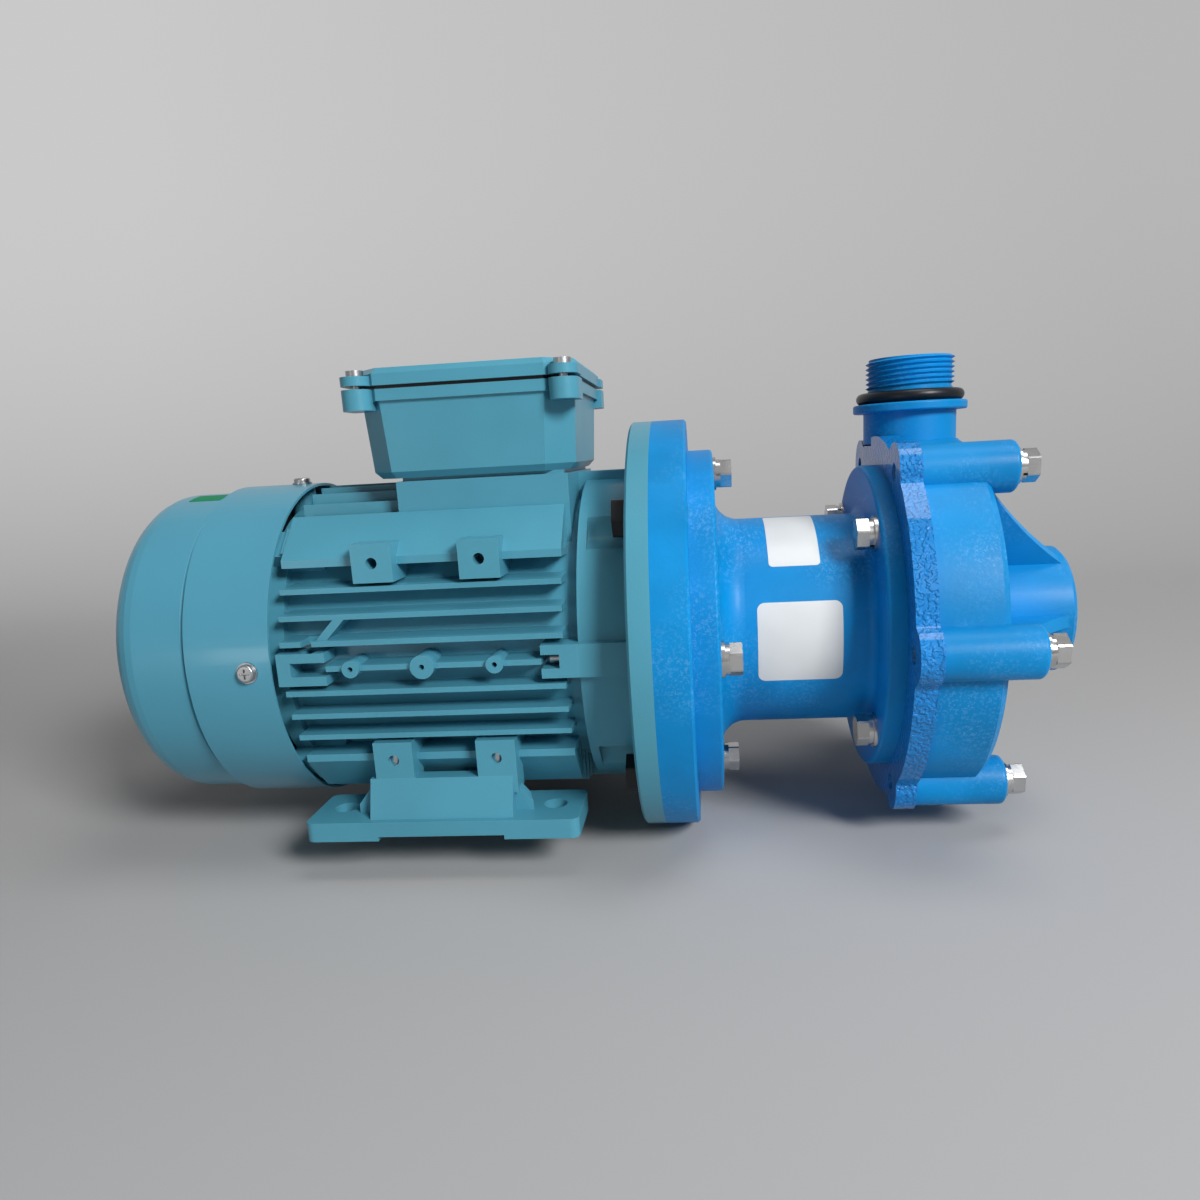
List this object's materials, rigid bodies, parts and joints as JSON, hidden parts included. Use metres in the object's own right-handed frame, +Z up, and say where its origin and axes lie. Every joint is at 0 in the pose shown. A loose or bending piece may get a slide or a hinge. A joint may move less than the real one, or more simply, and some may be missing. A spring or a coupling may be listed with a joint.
{
  "type": "magnetic drive pump",
  "caption": "Close coupled magnetic drive centrifugal pump: flanged electric motor, lantern, lobed clamp ring and ribbed plastic casing with an end suction and a top discharge.",
  "frame": {"origin": "centre of the four foot holes on the base plane, 80 mm under the shaft axis", "axes": "+X along the shaft from the fan towards the suction port, +Y to the far side of the picture, +Z up"},
  "size_m": [0.44, 0.2, 0.228],
  "materials": {
    "teal_cast": "glossy teal paint over cast aluminium",
    "teal_sheet": "glossy teal paint over pressed steel",
    "blue_plastic": "moulded fibre filled plastic, satin",
    "blue_cast": "lumpy casting under thick blue paint",
    "stainless": "bright turned stainless steel",
    "zinc_steel": "bright zinc plate",
    "black_steel": "black oxide",
    "black_rubber": "moulded rubber",
    "core_steel": "stacked electrical sheet",
    "copper": "varnished copper wire",
    "cage_aluminium": "die cast",
    "shaft_steel": "ground",
    "bearing_steel": "polished",
    "fan_plastic": "matt",
    "magnet": "nickel plated",
    "can_plastic": "fibre filled, matt",
    "rotor_plastic": "natural, matt",
    "ceramic": "ground",
    "carbon": "smooth, dark",
    "bakelite": "moulded",
    "brass": "turned"
  },
  "bodies": {
    "housing": {"motor_frame": "teal_cast", "stator_core": "core_steel", "stator_windings": "copper", "front_bearing_outer_ring": "bearing_steel", "rear_bearing_outer_ring": "bearing_steel", "front_end_shield": "teal_cast", "front_shield_screws": "zinc_steel", "shaft_seal": "black_rubber", "rear_end_shield": "teal_cast", "rear_shield_screws": "zinc_steel", "wave_washer": "bearing_steel", "fan_cover": "teal_sheet", "fan_cover_screws": "zinc_steel", "near_foot": "teal_cast", "far_foot": "teal_cast", "foot_screws": "zinc_steel", "terminal_box": "teal_cast", "box_gasket": "black_rubber", "lid_gasket": "black_rubber", "terminal_box_lid": "teal_cast", "lid_screws": "zinc_steel", "terminal_block": "bakelite", "terminal_studs": "brass", "adapter_plate": "blue_plastic", "flange_bolts": "black_steel", "lantern": "blue_plastic", "lantern_bolts": "stainless", "lantern_bolt_washers": "stainless", "ring_bolts": "stainless", "ring_bolt_washers": "stainless", "clamp_ring": "blue_cast", "pump_casing": "blue_plastic", "casing_bolts": "stainless", "casing_bolt_washers": "stainless", "casing_o_ring": "black_rubber", "containment_can": "can_plastic", "pump_spindle": "ceramic", "rear_thrust_ring": "ceramic", "front_thrust_ring": "ceramic", "discharge_o_ring": "black_rubber"},
    "motor_rotor": {"motor_shaft": "shaft_steel", "shaft_key": "shaft_steel", "rotor_core": "core_steel", "rotor_cage": "cage_aluminium", "front_bearing_inner_ring": "bearing_steel", "rear_bearing_inner_ring": "bearing_steel", "cooling_fan": "fan_plastic", "fan_clip": "bearing_steel", "drive_magnet_hub": "shaft_steel", "hub_set_screw": "shaft_steel", "drive_magnets": "magnet"},
    "pump_rotor": {"inner_magnet_carrier": "rotor_plastic", "inner_magnets": "magnet", "spindle_bushing": "carbon", "impeller": "rotor_plastic"},
    "front_ball_cage": {"front_bearing_balls": "bearing_steel"},
    "rear_ball_cage": {"rear_bearing_balls": "bearing_steel"}
  },
  "joints": [
    {"name": "motor_spin", "type": "hinge", "parent": "housing", "child": "motor_rotor", "pos_m": [0, 0, 0.08], "axis": [1, 0, 0], "continuous": true},
    {"name": "pump_spin", "type": "hinge", "parent": "housing", "child": "pump_rotor", "pos_m": [0, 0, 0.08], "axis": [1, 0, 0], "continuous": true},
    {"name": "front_cage_spin", "type": "hinge", "parent": "housing", "child": "front_ball_cage", "pos_m": [0, 0, 0.08], "axis": [1, 0, 0], "continuous": true},
    {"name": "rear_cage_spin", "type": "hinge", "parent": "housing", "child": "rear_ball_cage", "pos_m": [0, 0, 0.08], "axis": [1, 0, 0], "continuous": true}
  ],
  "couplings": [
    {"joint": "pump_spin", "follows": "motor_spin", "ratio": 1},
    {"joint": "front_cage_spin", "follows": "motor_spin", "ratio": 0.38152},
    {"joint": "rear_cage_spin", "follows": "motor_spin", "ratio": 0.38152}
  ]
}
